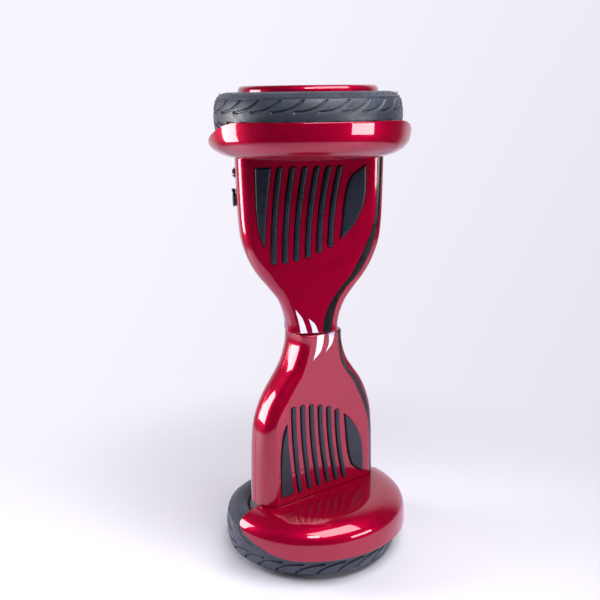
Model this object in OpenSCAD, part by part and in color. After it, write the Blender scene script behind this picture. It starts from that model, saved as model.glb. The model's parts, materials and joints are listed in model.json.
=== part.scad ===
// Self balancing hoverboard: two rider platforms joined by a twisting waist, a hub-motor wheel at each end.
// Millimetres. The board is stored standing on end on the hub cap of its right wheel, with +Z up along
// the common axis of both wheels and of the waist. The right half is the lower one: its front is +X and
// its foot side is -Y. The left half is the upper one, twisted by rest_twist about +Z.
//
// Each half is drawn in its own frame: X = forward, Y = away from the foot side, Z = outward along the
// axis, counted from the waist. In the comments f, u and s are forward, towards the feet, and outward.

/* [Overall] */
// Distance between the mid-planes of the two wheels
wheel_spacing = 592; // [586:1:604]
// Twist of the left half about the axis in the stored pose, in degrees
rest_twist = 28; // [0:1:30]

/* [Wheels] */
// Outside diameter of the tyre
tyre_d = 254; // [250:1:254]
// Width of the tyre
tyre_w = 62; // [60:1:62]
// Radius of the hub cap
cap_r = 94; // [90:1:94]
// How far the hub cap stands out beyond the tyre
cap_proud = 8; // [6:1:10]
// Number of magnets on the rotor
magnets = 30; // [20:2:30]
// Number of wound teeth on the stator
teeth = 27; // [18:3:27]

/* [Shell] */
// Wall thickness of the covers
wall = 3; // [2.5:0.1:3]
// Gap at the seams between covers and trim
seam = 0.5; // [0.3:0.1:0.8]
// Gap between the covers of the two halves at the waist
waist_gap = 1.5; // [1.2:0.1:2]
// Diameter of the holes for the cover screws
screw_head_d = 7.2; // [6:0.2:8]

/* [Foot pads] */
// Number of slanted ribs on each pad
ribs = 6; // [4:1:6]
// Width of a rib
rib_w = 7.2; // [6:0.1:7.6]
// How far the ribs stand out above the cover
rib_proud = 3; // [1.5:0.1:3.5]
// Gap round each rib
rib_gap = 0.9; // [0.6:0.1:1.1]
// How far a pad is pressed down
pad_travel = 1.5; // [1:0.1:1.5]

/* [Waist] */
// Outside radius of the hollow twist shaft
shaft_r = 14; // [12:0.5:14]
// Radial running clearance of the twist shaft in its bushes
shaft_fit = 0.05; // [0.03:0.01:0.09]
// Largest twist either way from the aligned pose, in degrees
twist_limit = 30; // [20:1:30]

/* [Hidden] */
$fn = 64;
SMALL = 0.01;
wheel_s = wheel_spacing / 2;
tyre_r = tyre_d / 2;
half_tyre = tyre_w / 2;
// Height of the waist above the hub cap that the board stands on
joint_z = wheel_s + half_tyre + cap_proud;
deck_end = wheel_s - 54;

red = [0.72, 0.01, 0.12];
black = [0.05, 0.05, 0.06];
rubber = [0.09, 0.10, 0.12];
steel = [0.62, 0.63, 0.66];
cast = [0.70, 0.70, 0.71];

// Outline of a half, each pair being s and a value there
HALF_WIDTH = [[0, 36.5], [14, 36.6], [30, 40.5], [47, 48], [65, 61.5], [82, 75], [100, 85.5],
              [125, 94.5], [150, 98], [180, 99.5], [242, 101]];
REAR_CREASE = [[0, 18], [30, 27], [53, 36], [67, 46], [84, 58], [98, 70], [115, 80], [140, 83], [242, 83]];
FRONT_CREASE = [[0, 10], [30, 14], [45, 20], [73, 35], [97, 52], [118, 69], [140, 81], [242, 83]];
TOP = [[0, 36.5], [50, 34], [95, 31.4], [115, 31], [242, 31]];
REAR_POWER = [[0, 5], [60, 4], [130, 3.3], [242, 3.3]];
FRONT_POWER = [[0, 4.6], [60, 6], [242, 6]];
BOTTOM = [[0, 33.2], [60, 34.8], [120, 38], [242, 39]];
BOTTOM_POWER = [[0, 2], [60, 2.3], [130, 2.6], [242, 2.6]];
// Edges of the black trim, each pair being s and f, and how much further forward they are on the right half
TRIM_IN = [[0, 12], [20, 14.6], [41, 22.3], [61, 36], [82, 53.5], [100, 63.5], [117, 72.2], [150, 84],
           [184, 88], [242, 89.5]];
TRIM_OUT = [[0, 24.3], [20, 27], [41, 32.3], [61, 44], [82, 64], [100, 75], [117, 82.7], [150, 91.5],
            [184, 95], [242, 97]];
RIGHT_IN = [[0, 11], [15, 10.5], [30, 8.5], [45, 4.7], [62, 1.5], [242, 1]];
RIGHT_OUT = [[0, 7], [15, 5.5], [30, 2], [45, 0.6], [242, 0.5]];

// Smooth curve through a list of pairs
function span(t, s, i = 0) = i >= len(t) - 2 || s < t[i + 1][0] ? i : span(t, s, i + 1);
function slope(t, i) =
    let (a = max(i - 1, 0), b = min(i + 1, len(t) - 1)) (t[b][1] - t[a][1]) / (t[b][0] - t[a][0]);
function along(t, s) =
    let (i = span(t, s), h = t[i + 1][0] - t[i][0], x = min(max((s - t[i][0]) / h, 0), 1))
    t[i][1] * (1 + 2 * x) * pow(1 - x, 2) + t[i + 1][1] * x * x * (3 - 2 * x)
    + h * slope(t, i) * x * pow(1 - x, 2) + h * slope(t, i + 1) * x * x * (x - 1);

// Height of the upper superellipse, chosen so that it meets the flat top at the crease
function top_height(s, crease, power) =
    let (n = along(power, s), k = along(crease, s) / along(HALF_WIDTH, s))
    along(TOP, s) / pow(1 - pow(k, n), 1 / n);
FRONT = 0;
REAR = 1;
BELOW = 2;
function power_at(s, where) =
    along(where == FRONT ? FRONT_POWER : where == REAR ? REAR_POWER : BOTTOM_POWER, s);
function height_at(s, where) =
    where == FRONT ? top_height(s, FRONT_CREASE, FRONT_POWER)
    : where == REAR ? top_height(s, REAR_CREASE, REAR_POWER)
    : along(BOTTOM, s);

// A point of the outer surface in the direction a, from 0 at the front edge through 90 at the top
function skin(s, a, inset = 0) =
    let (where = a < 0 ? BELOW : a <= 90 ? FRONT : REAR)
    let (n = power_at(s, where), w = along(HALF_WIDTH, s) - inset, h = height_at(s, where) - inset)
    let (r = pow(pow(abs(cos(a)) / w, n) + pow(abs(sin(a)) / h, n), -1 / n))
    let (v = r * abs(sin(a)))
    [r * cos(a), a >= 0 ? -min(v, along(TOP, s) - inset) : v, s];

// The direction in which the upper front surface is f forward of the axis
function angle_at(s, f) =
    let (n = along(FRONT_POWER, s), w = along(HALF_WIDTH, s), k = min(f / w, 1))
    atan2(height_at(s, FRONT) * pow(1 - pow(k, n), 1 / n), f);

START = waist_gap / 2;
STATIONS = 24;
PLATE = 2.2;
NECK_HOLE = 29.5;
AXLE_HOLE = 24;
function station(i) = START + (deck_end - START) * i / STATIONS;
// The stations of a cover that has closing walls, with two close together at each wall's inner face
WALLED = concat([0, PLATE / 10, PLATE / 10 + 0.01], [for (i = [1:STATIONS - 1]) i],
                [STATIONS - PLATE / 10 - 0.01, STATIONS - PLATE / 10, STATIONS]);
PLAIN = [for (i = [0:STATIONS]) i];

// A strip of shell of thickness t, between the directions from[i] and to[i] at each station.
// Where walls is true it is closed at both ends by walls round the neck and the axle.
module shell_strip(from, to, t, steps, walls = false) {
    ring = 2 * (steps + 1);
    rows = walls ? WALLED : PLAIN;
    last_row = len(rows) - 1;
    function between(list, x) = let (i = min(floor(x), STATIONS - 1)) list[i] + (list[i + 1] - list[i]) * (x - i);
    function at(x, j) = let (a = between(from, x), b = between(to, x)) a + (b - a) * j / steps;
    function inner(k, x, a) =
        walls && k < 2 ? [NECK_HOLE * cos(a), -NECK_HOLE * sin(a), station(x)]
        : walls && k > last_row - 2 ? [AXLE_HOLE * cos(a), -AXLE_HOLE * sin(a), station(x)]
        : skin(station(x), a, t);
    points = [
        for (k = [0:last_row])
            let (x = rows[k])
            each concat([for (j = [0:steps]) skin(station(x), at(x, j))],
                        [for (j = [steps:-1:0]) inner(k, x, at(x, j))])
    ];
    sides = [
        for (k = [0:last_row - 1], j = [0:ring - 1])
            let (a = k * ring + j, b = k * ring + (j + 1) % ring)
            each [[a, b, b + ring], [a, b + ring, a + ring]]
    ];
    // Each end is closed by quads between the outer and the inner edge
    first = [for (j = [0:steps - 1]) each [[j + 1, j, ring - 1 - j], [j + 1, ring - 1 - j, ring - 2 - j]]];
    base = last_row * ring;
    last = [
        for (j = [0:steps - 1])
            each [[base + j, base + j + 1, base + ring - 1 - j],
                  [base + j + 1, base + ring - 2 - j, base + ring - 1 - j]]
    ];
    polyhedron(points, concat(sides, first, last), convexity = 8);
}

// The directions of the trim's edges at each station, moved outward by gap, on the right or the left half
function inner_edge(right, gap) = [
    for (i = [0:STATIONS])
        let (s = station(i)) angle_at(s, along(TRIM_IN, s) + (right ? along(RIGHT_IN, s) : 0) + gap)
];
function outer_edge(right, gap) = [
    for (i = [0:STATIONS])
        let (s = station(i)) angle_at(s, along(TRIM_OUT, s) + (right ? along(RIGHT_OUT, s) : 0) + gap)
];
// The directions of the rear seam, moved by gap
function rear_edge(gap) = [for (i = [0:STATIONS]) 180 - atan(gap / along(HALF_WIDTH, station(i)))];

// Foot pad ribs: s at the waist end, f there, and how strongly each bends forward
PAD_OUT = 230.5;
RIB_PITCH = 15.65;
function rib_start(i) = 99.5 + 0.85 * i * i;
function rib_f(i, s) = -54 + RIB_PITCH * i + (0.0006 + 0.00011 * i) * pow(s - rib_start(i), 2);
REAR_BLADE = [[-76.7, 229.5], [-55.6, 229.5], [-58.2, 209], [-62, 177], [-64.6, 148], [-65.6, 123],
              [-70.3, 133], [-74, 150], [-76.4, 175]];
FRONT_BLADE = [[72.6, 231], [73.2, 203], [70.4, 180], [60, 156], [48, 140.5], [38.5, 131.5], [40.3, 150],
               [42.4, 174], [46.2, 198], [53, 216]];
MAT = [[-77.2, 234], [-77.2, 172], [-72, 128], [-62, 97], [-18, 97], [30, 112], [50, 133], [66, 152],
       [76, 180], [76, 234]];

// A slanted rib, widened by grow on every side
module rib_outline(i, grow) {
    steps = 8;
    r = rib_w / 2;
    mid = [
        for (k = [0:steps])
            let (s = rib_start(i) + r + (PAD_OUT - rib_start(i) - 2 * r) * k / steps)
            [rib_f(i, s), s]
    ];
    near = [for (a = [210:30:330]) mid[0] + (r + grow) * [cos(a), sin(a)]];
    far = [for (a = [30:30:150]) mid[steps] + (r + grow) * [cos(a), sin(a)]];
    right = [for (k = [0:steps]) mid[k] + [r + grow, 0]];
    left = [for (k = [steps:-1:0]) mid[k] - [r + grow, 0]];
    polygon(concat(near, right, far, left));
}

// Moves each side of an outline outward by grow, with mitred corners
function outward(p, i) =
    let (n = len(p), a = p[(i + n - 1) % n], b = p[i], c = p[(i + 1) % n])
    let (d = (b - a) / norm(b - a), e = (c - b) / norm(c - b))
    let (m = [-d[1] - e[1], d[0] + e[0]], q = max(norm(m), 1))
    m / (q * q / 2);
module grown(p, grow) {
    polygon([for (i = [0:len(p) - 1]) p[i] + grow * outward(p, i)]);
}

// Stands an outline drawn in f and s up between the heights low and high above the axis
module standing(low, high) {
    translate([0, -low, 0])
        rotate([90, 0, 0])
            linear_extrude(high - low)
                children();
}

// Places a part of the left half or of the right half in the frame of the whole board
module left() {
    translate([0, 0, joint_z])
        rotate([0, 0, -rest_twist])
            children();
}
module right() {
    translate([0, 0, joint_z])
        mirror([0, 0, 1])
            children();
}

module tube(outer, inner, from, to) {
    translate([0, 0, from])
        difference() {
            cylinder(r = outer, h = to - from);
            translate([0, 0, -1])
                cylinder(r = inner, h = to - from + 2);
        }
}
module rod(r, from, to) {
    translate([0, 0, from])
        cylinder(r = r, h = to - from);
}

// ---- Covers ----

SCREWS = [[70, 150], [-70, 150], [70, 216], [-70, 216], [44, 88], [-44, 88]];
SCREW_R = 1.5;
BOSS_R = 4.6;
// How far the underside is below the axis at a place f, s
function underside(f, s) =
    let (n = along(BOTTOM_POWER, s))
    along(BOTTOM, s) * pow(1 - pow(abs(f) / along(HALF_WIDTH, s), n), 1 / n);
// Where a screw's head bears on the cover, and where the boss under it ends
function seat(p) = underside(p[0], p[1]) - 1.3;
function boss_end(p) = underside(abs(p[0]) + BOSS_R, p[1]) - wall - 0.5;

module pad_slots() {
    for (i = [0:ribs - 1])
        rib_outline(i, rib_gap);
    grown(REAR_BLADE, rib_gap);
    grown(FRONT_BLADE, rib_gap);
}

module top_cover(right = false) {
    color(red)
        difference() {
            shell_strip(inner_edge(right, -seam / 2), rear_edge(seam / 2), wall, 22, walls = true);
            standing(10, 50)
                pad_slots();
        }
}

// Bottom cover; children are cut out of it
module bottom_cover(right = false) {
    color(red)
        difference() {
            shell_strip(-1 * rear_edge(seam / 2), outer_edge(right, seam / 2), wall, 28, walls = true);
            for (p = SCREWS)
                translate([p[0], seat(p), p[1]])
                    rotate([-90, 0, 0]) {
                        cylinder(d = screw_head_d, h = 10, $fn = 12);
                        translate([0, 0, -10])
                            cylinder(r = SCREW_R + 0.4, h = 11, $fn = 12);
                    }
            children();
        }
}

module front_trim(right = false) {
    color(black)
        shell_strip(outer_edge(right, -seam / 2), inner_edge(right, seam / 2), wall, 5);
}

// ---- Fender ----

WEB = deck_end + 0.4;
NOSE = wheel_s - 28;
LIP = wheel_s - 5;
FENDER_WALL = 2.8;
FENDER_FROM = 3.5;
NOSE_R = tyre_r + 12.3;
CORNER_R = tyre_r - 32;

// Cross-section of the fender, drawn in radius and s, set in from its outer surface by d
function fender_edge(d) = concat(
    [for (a = [90:-9:0]) [CORNER_R + (NOSE_R - CORNER_R - d) * cos(a), NOSE - (NOSE - WEB - d) * sin(a)]],
    [[NOSE_R - d, LIP]]);
function turned(p) = [for (i = [len(p) - 1:-1:0]) p[i]];

// Where both ends of the fender's lip are cut away, as Y and the distance from the wheel's mid-plane
LIP_CUT = [[-8, 37], [-25, 27], [-38, 21.5], [-59, 13.5], [-80, 7], [-94, 5]];
module fender() {
    hub = 27;
    color(red)
        difference() {
            rotate([0, 0, 180 + FENDER_FROM])
                rotate_extrude(angle = 180 - 2 * FENDER_FROM, $fn = 96)
                    polygon(concat([[hub, WEB]], fender_edge(0), turned(fender_edge(FENDER_WALL)),
                                   [[hub, WEB + FENDER_WALL]]));
            rotate([90, 0, 90])
                linear_extrude(4 * tyre_r, center = true)
                    polygon(concat([for (p = LIP_CUT) [p[0], wheel_s - p[1]]],
                                   [[-94, LIP + 10], [10, LIP + 10], [10, wheel_s - 37]]));
        }
}

// ---- Foot pad and its sensor board ----

DECK = 31;
MAT_TOP = DECK - wall - 0.8;
MAT_LOW = MAT_TOP - 3;
POSTS = [[-46, 150], [46, 150]];
BOARD_U = 8;
SENSOR_TOP = BOARD_U + 7.4;

module foot_pad() {
    color(rubber)
        union() {
            standing(MAT_LOW, MAT_TOP)
                polygon(MAT);
            standing(MAT_TOP - SMALL, DECK + rib_proud) {
                for (i = [0:ribs - 1])
                    rib_outline(i, 0);
                polygon(REAR_BLADE);
                polygon(FRONT_BLADE);
            }
            standing(SENSOR_TOP + pad_travel + 1, MAT_LOW + SMALL)
                for (p = POSTS)
                    translate(p)
                        circle(2.6, $fn = 24);
        }
}

BOARD_POSTS = [[-46, 124], [46, 124], [-46, 176], [46, 176]];
module sensor_board() {
    color([0.05, 0.35, 0.15])
        standing(BOARD_U, BOARD_U + 1.6)
            translate([-52, 118])
                square([104, 64]);
    color("ivory")
        standing(PLATE_HIGH, BOARD_U)
            for (p = BOARD_POSTS)
                translate(p)
                    circle(3, $fn = 24);
    color(black)
        standing(BOARD_U + 1.6, SENSOR_TOP) {
            for (p = POSTS)
                translate(p - [6, 4])
                    square([12, 8]);
            translate([-5, 145])
                square([10, 10]);
        }
}

// ---- Cast frame, axle and clamp ----

PLATE_LOW = -12;
PLATE_HIGH = -9;
TUBE_R = 20;
NECK_END = 62;
BUSH_R = 17;
AXLE_R = 7.5;
SADDLE = 22;
PIN_R = 3;
PIN_ORBIT = 24;
// Where the limit pin stands about the axis
PIN_ANGLE = 140;
BULKHEAD = 231;

// The casting, with a bore of radius bore for the shaft or its bushes
module chassis(bore) {
    edge = [[-28, 34], [28, 34], [52, 84], [80, 130], [80, 234], [-80, 234], [-80, 130], [-52, 84]];
    difference() {
        union() {
            rod(TUBE_R, 3.2, NECK_END);
            rod(NECK_HOLE - 0.5, 3.2, 8);
            standing(PLATE_LOW, PLATE_HIGH)
                polygon(edge);
            standing(PLATE_HIGH - SMALL, 2)
                for (f = [-80, 76])
                    translate([f, 132])
                        square([4, 102]);
            standing(-24, 20)
                translate([-58, BULKHEAD])
                    square([116, 4]);
            standing(PLATE_HIGH - SMALL, 0)
                translate([-SADDLE, 200])
                    square([2 * SADDLE, 30]);
            for (p = SCREWS)
                translate([p[0], -PLATE_LOW - SMALL, p[1]])
                    rotate([-90, 0, 0])
                        cylinder(r = BOSS_R, h = boss_end(p) + PLATE_LOW + SMALL);
        }
        rod(bore, 0, NECK_END + 4);
        rod(TUBE_R, NECK_END, NECK_END + 4);
        rod(AXLE_R, 190, 250);
        for (p = SCREWS)
            translate([p[0], 16, p[1]])
                rotate([-90, 0, 0])
                    cylinder(r = SCREW_R, h = 30);
        for (p = CLAMP_BOLTS)
            translate([p[0], 20, p[1]])
                rotate([90, 0, 0])
                    cylinder(r = 2, h = 30);
        // Way down for the motor cable
        translate([0, 0, CABLE_DROP])
            rotate([-90, 0, 0])
                cylinder(r = 6, h = 30);
    }
}

CLAMP_BOLTS = [[-16, 206], [16, 206], [-16, 224], [16, 224]];
CABLE_DROP = 136;

module right_chassis() {
    color(cast)
        difference() {
            chassis(shaft_r);
            rotate([0, 0, PIN_ANGLE])
                translate([PIN_ORBIT, 0, 0])
                    cylinder(r = PIN_R, h = 10);
        }
}

module left_chassis() {
    // Half the slot's opening, from the pin's centre, leaving the pin a little room at each end
    reach = twist_limit + asin(PIN_R / PIN_ORBIT) + 1.5;
    color(cast)
        difference() {
            chassis(BUSH_R);
            rotate([0, 0, PIN_ANGLE - reach])
                rotate_extrude(angle = 2 * reach)
                    translate([PIN_ORBIT - PIN_R - 0.3, 0])
                        square([2 * PIN_R + 0.6, 12]);
        }
}

module axle() {
    color(steel)
        difference() {
            union() {
                rod(AXLE_R, 198, wheel_s + 27.5);
                rod(11, WEB + 4, wheel_s - 29.5);
            }
            // Flats that stop the axle from turning in its clamp
            for (side = [-1, 1])
                translate([side * (AXLE_R + 5 - 1.2), 0, 212])
                    cube([10, 40, 29], center = true);
        }
}

module axle_clamp() {
    color(cast)
        difference() {
            standing(0.6, 13)
                translate([-SADDLE, 202])
                    square([2 * SADDLE, 26]);
            rod(AXLE_R, 190, 250);
            for (p = CLAMP_BOLTS)
                translate([p[0], 0, p[1]])
                    rotate([90, 0, 0])
                        cylinder(r = 2, h = 30);
        }
}

module bolt(head_r, head_h, r, length) {
    cylinder(r = r, h = length + SMALL);
    translate([0, 0, length])
        cylinder(r = head_r, h = head_h);
}

module clamp_bolts() {
    color(steel)
        for (p = CLAMP_BOLTS)
            translate([p[0], -PLATE_HIGH - 1, p[1]])
                rotate([90, 0, 0])
                    bolt(4, 3.5, 2, 21);
}

module cover_screws() {
    color(steel)
        for (p = SCREWS)
            translate([p[0], 17, p[1]])
                rotate([-90, 0, 0])
                    bolt(screw_head_d / 2 - 0.3, 1.2, SCREW_R, seat(p) - 17);
}

// ---- Wheel ----

BEAD_R = 88;
MOTOR_R = 79.5;
BEARING_R = 16;
FLANGE = 25;
COVER = 28.5;
VALVE_Y = BEAD_R + 0.2;

// Half of the tyre's outer outline, from the crown to the bead, as radius and distance from the mid-plane
function sidewall() =
    let (r = tyre_r, t = half_tyre)
    [[r, 1.5], [r - 0.3, 8], [r - 1.4, 15.5], [r - 3, 21.6], [r - 4.4, 22], [r - 4.6, 23.4], [r - 4, 24],
     [r - 8, t - 4], [r - 12, t - 1.6], [r - 17, t - 0.3], [r - 22, t], [r - 28, t - 1.4], [r - 32.5, t - 5],
     [BEAD_R + 4.5, 21.5], [BEAD_R + 0.1, 21.5], [BEAD_R + 0.1, 15], [BEAD_R + 4, 15]];
function mirrored(p) = [for (i = [len(p) - 1:-1:0]) [p[i][0], -p[i][1]]];
// An oval ring outline round the middle of the tyre's section
function oval(a, b) = [for (k = [0:15]) [tyre_r - 21 + a * cos(k * 22.5), b * sin(k * 22.5)]];
// The upper part of the air chamber, from one side of the rim to the other
function chamber() = [for (k = [-5:5]) [tyre_r - 21 + 14.5 * cos(k * 27), 24 * sin(k * 27)]];

module in_wheel() {
    translate([0, 0, wheel_s])
        children();
}

module tyre() {
    color([0.16, 0.17, 0.21])
        in_wheel()
            rotate_extrude($fn = 128)
                polygon(concat(sidewall(), turned(chamber()), mirrored(sidewall())));
}

// The inner tube, and its valve, which comes out beside the rim on the inboard side
module inner_tube() {
    color("dimgray") {
        in_wheel()
            rotate_extrude()
                difference() {
                    polygon(oval(13.6, 18));
                    polygon(oval(11.8, 16));
                }
        translate([0, VALVE_Y, 0])
            rod(2.6, wheel_s - 40, wheel_s - 30);
        translate([0, VALVE_Y, 0])
            rod(1.9, wheel_s - 30, wheel_s - 21.8);
    }
}

module rim() {
    color([0.20, 0.20, 0.22])
        in_wheel()
            difference() {
                rotate_extrude()
                    polygon([[MOTOR_R, -FLANGE], [BEAD_R + 4, -FLANGE], [BEAD_R + 4, -22], [BEAD_R, -22],
                             [BEAD_R, 22], [BEAD_R + 4, 22], [BEAD_R + 4, FLANGE], [MOTOR_R, FLANGE]]);
                translate([0, VALVE_Y, -FLANGE - 1])
                    cylinder(r = 1.9, h = 5);
            }
}

module magnet_ring() {
    pitch = 360 / magnets;
    color("dimgray")
        in_wheel()
            for (i = [0:magnets - 1])
                rotate([0, 0, i * pitch])
                    rotate_extrude(angle = pitch * 0.86)
                        translate([MOTOR_R - 3.5, -13])
                            square([3.5, 26]);
}

STATOR_R = MOTOR_R - 4.6;
// The laminated core, with a wound tooth and a curved shoe at each pitch
module stator_core() {
    pitch = 360 / teeth;
    shoe = [for (a = [-0.4:0.2:0.4]) STATOR_R * [cos(a * pitch), sin(a * pitch)]];
    under = [for (a = [0.4, -0.4]) (STATOR_R - 3) * [cos(a * pitch), sin(a * pitch)]];
    color([0.35, 0.36, 0.40])
        translate([0, 0, wheel_s - 12])
            linear_extrude(24)
                difference() {
                    union() {
                        circle(42);
                        for (i = [0:teeth - 1])
                            rotate(i * pitch) {
                                translate([40, -2.2])
                                    square([STATOR_R - 41.5, 4.4]);
                                polygon(concat(shoe, under));
                            }
                    }
                    circle(AXLE_R);
                    for (i = [0:5])
                        rotate(i * 60)
                            translate([25, 0])
                                circle(9);
                }
}

module stator_windings() {
    pitch = 360 / teeth;
    color([0.70, 0.33, 0.12])
        for (i = [0:teeth - 1])
            rotate([0, 0, i * pitch])
                translate([0, 0, wheel_s])
                    difference() {
                        translate([45, -4.2, -15])
                            cube([STATOR_R - 50, 8.4, 30]);
                        translate([40, -2.3, -12.1])
                            cube([STATOR_R, 4.6, 24.2]);
                    }
}

// A motor cover with its bearing housing, drawn outward from the mid-plane
module motor_cover() {
    rotate_extrude()
        polygon([[BEARING_R, 19.5], [BEARING_R + 4, 19.5], [BEARING_R + 4, FLANGE], [BEAD_R + 2, FLANGE],
                 [BEAD_R + 2, COVER - 0.5], [BEAD_R + 1.5, COVER], [BEARING_R, COVER]]);
}
module motor_inner_cover() {
    color(black)
        in_wheel()
            difference() {
                mirror([0, 0, 1])
                    motor_cover();
                translate([0, VALVE_Y, -COVER - 1])
                    cylinder(r = 2.2, h = 6);
            }
}
module motor_outer_cover() {
    color(cast)
        in_wheel()
            motor_cover();
}

module wheel_bearings() {
    color(steel)
        in_wheel()
            for (side = [-1, 1])
                scale([1, 1, side])
                    tube(BEARING_R, AXLE_R + 0.05, 19.5, COVER);
}

CAP_LOW = COVER + 0.3;
CAP_TOP = half_tyre + cap_proud;
CAP_SCREW_R = 62;
CAP_SCREWS = 6;
module hub_cap() {
    corner = 6;
    rise = [for (a = [0:15:90]) [cap_r - corner + corner * cos(a), CAP_TOP - corner + corner * sin(a)]];
    color(red)
        in_wheel()
            difference() {
                rotate_extrude($fn = 96)
                    polygon(concat([[0, CAP_LOW], [cap_r, CAP_LOW]], rise,
                                   [[72, CAP_TOP], [70, CAP_TOP - 2.5], [54, CAP_TOP - 2.5], [52, CAP_TOP],
                                    [0, CAP_TOP]]));
                for (i = [0:CAP_SCREWS - 1])
                    rotate([0, 0, i * 60 + 30])
                        translate([CAP_SCREW_R, 0, 0])
                            rod(4, CAP_TOP - 5, CAP_TOP + 1);
            }
}
module hub_screws() {
    color(steel)
        in_wheel()
            for (i = [0:CAP_SCREWS - 1])
                rotate([0, 0, i * 60 + 30])
                    translate([CAP_SCREW_R, 0, 0])
                        rod(3.7, CAP_TOP - 5, CAP_TOP - 3);
}

// ---- Waist, drawn from the joint plane with the left half upward ----

module twist_shaft() {
    color(steel)
        translate([0, 0, joint_z])
            tube(shaft_r, 11, -60, NECK_END + 4);
}
module twist_bushes() {
    color([0.75, 0.60, 0.30])
        translate([0, 0, joint_z])
            for (s = [[4, 18], [NECK_END - 16, NECK_END - 1]])
                tube(BUSH_R, shaft_r + shaft_fit, s[0], s[1]);
}
module thrust_washer() {
    color([0.85, 0.84, 0.78])
        translate([0, 0, joint_z])
            tube(TUBE_R, shaft_r, -3.2, 2.9);
}
module retaining_ring() {
    color([0.25, 0.25, 0.27])
        translate([0, 0, joint_z])
            tube(TUBE_R - 1, shaft_r, NECK_END + 0.4, NECK_END + 2.4);
}
module limit_pin() {
    color(steel)
        translate([0, 0, joint_z])
            rotate([0, 0, PIN_ANGLE])
                translate([PIN_ORBIT, 0, 0])
                    rod(PIN_R, -8, 7.5);
}
module waist_seal() {
    color(black)
        translate([0, 0, joint_z])
            tube(31.5, 28, -START, START - 0.35);
}
module link_cable() {
    color(black)
        translate([0, 0, joint_z]) {
            rod(4, -68, NECK_END + 8);
            rod(7, NECK_END + 8, NECK_END + 20);
            rod(7, -80, -68);
        }
}

module right_motor_cable() {
    color(black)
        rod(3, 80, 197.8);
}
module left_motor_cable() {
    bend = 12;
    color(black) {
        rod(3, CABLE_DROP + bend, 197.8);
        translate([0, bend, CABLE_DROP + bend])
            rotate([0, 90, 0])
                rotate_extrude(angle = -90)
                    translate([bend, 0])
                        circle(3);
        translate([0, bend, CABLE_DROP])
            rotate([-90, 0, 0])
                cylinder(r = 3, h = 15.6 - bend);
    }
}

// ---- Electronics ----

module battery_pack() {
    color([0.10, 0.25, 0.60])
        standing(-31, -12.2)
            translate([-54, 126])
                square([108, 102]);
}

// The main board, with its capacitors, its connectors and the spacers that it stands on
module main_board() {
    color([0.05, 0.30, 0.12])
        standing(-17.4, -15.8)
            translate([-46, 126])
                square([92, 92]);
    color("ivory")
        standing(-15.8, PLATE_LOW)
            for (f = [-40, 40], s = [132, 212])
                translate([f, s])
                    circle(3, $fn = 24);
    color([0.15, 0.20, 0.45])
        for (f = [-30, -8, 14])
            translate([f, 17.4 - SMALL, 142])
                rotate([-90, 0, 0])
                    cylinder(r = 8, h = 13);
    color("ivory")
        standing(-25, -17.4 + SMALL)
            for (f = [-42, -18, 6])
                translate([f, 154])
                    square([14, 10]);
}
module heat_sink() {
    color("silver")
        standing(-20, -17.4)
            translate([-44, 172])
                square([88, 42]);
    color("silver")
        standing(-29.5, -20 + SMALL)
            for (k = [0:10])
                translate([-44 + 8.6 * k, 172])
                    square([2, 42]);
}

// ---- Fittings on the rear edge of the left half ----

FITTING_U = -11;
EDGE_F = 101.5;
BUTTON_S = 221;
PORT_S = 184;
PORT_R = 6;

// Draws along +X from the rear edge inward, at height FITTING_U and distance s
module on_rear_edge(s) {
    translate([-EDGE_F, -FITTING_U, s])
        rotate([0, 90, 0])
            children();
}
// Twelve-sided holes through the cover, wide enough across their flats for the fittings
module fitting_holes() {
    on_rear_edge(BUTTON_S)
        translate([0, 0, -2])
            cylinder(r = 6.9 / cos(15), h = 20, $fn = 12);
    on_rear_edge(PORT_S)
        translate([0, 0, -2])
            cylinder(r = 8.6 / cos(15), h = 20, $fn = 12);
}
module power_switch() {
    color(black)
        on_rear_edge(BUTTON_S) {
            tube(6.8, 5.08, 0, 11.5);
            rod(6.8, 11.5, 19);
        }
}
module power_button() {
    color("silver")
        on_rear_edge(BUTTON_S)
            rod(5, -2.2, 9.5);
}
// The charging socket, with the two lugs and the pin that its cap hangs on
module charge_port() {
    color(black)
        on_rear_edge(PORT_S) {
            difference() {
                union() {
                    rod(8.5, 0, 16);
                    translate([-CAP_HINGE - 2, -6.3, 0])
                        cube([CAP_HINGE - 4, 12.6, 1.4]);
                    for (y = [-6.3, 4.3])
                        translate([-CAP_HINGE - 2, y, -2.9])
                            cube([4, 2, 4]);
                }
                rod(PORT_R, -1, 12);
            }
            translate([-CAP_HINGE, -6, -HINGE_OUT])
                rotate([-90, 0, 0])
                    cylinder(r = 0.7, h = 12);
        }
}
CAP_HINGE = 13;
HINGE_OUT = 1.5;
module port_cap() {
    color(rubber)
        on_rear_edge(PORT_S)
            difference() {
                union() {
                    rod(9.2, -2, -0.3);
                    translate([-CAP_HINGE, -3.9, -2])
                        cube([CAP_HINGE, 7.8, 1.7]);
                    translate([-CAP_HINGE, -3.9, -HINGE_OUT])
                        rotate([-90, 0, 0])
                            cylinder(r = 1.35, h = 7.8);
                }
                translate([-CAP_HINGE, -5, -HINGE_OUT])
                    rotate([-90, 0, 0])
                        cylinder(r = 0.76, h = 10);
            }
}

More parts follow.
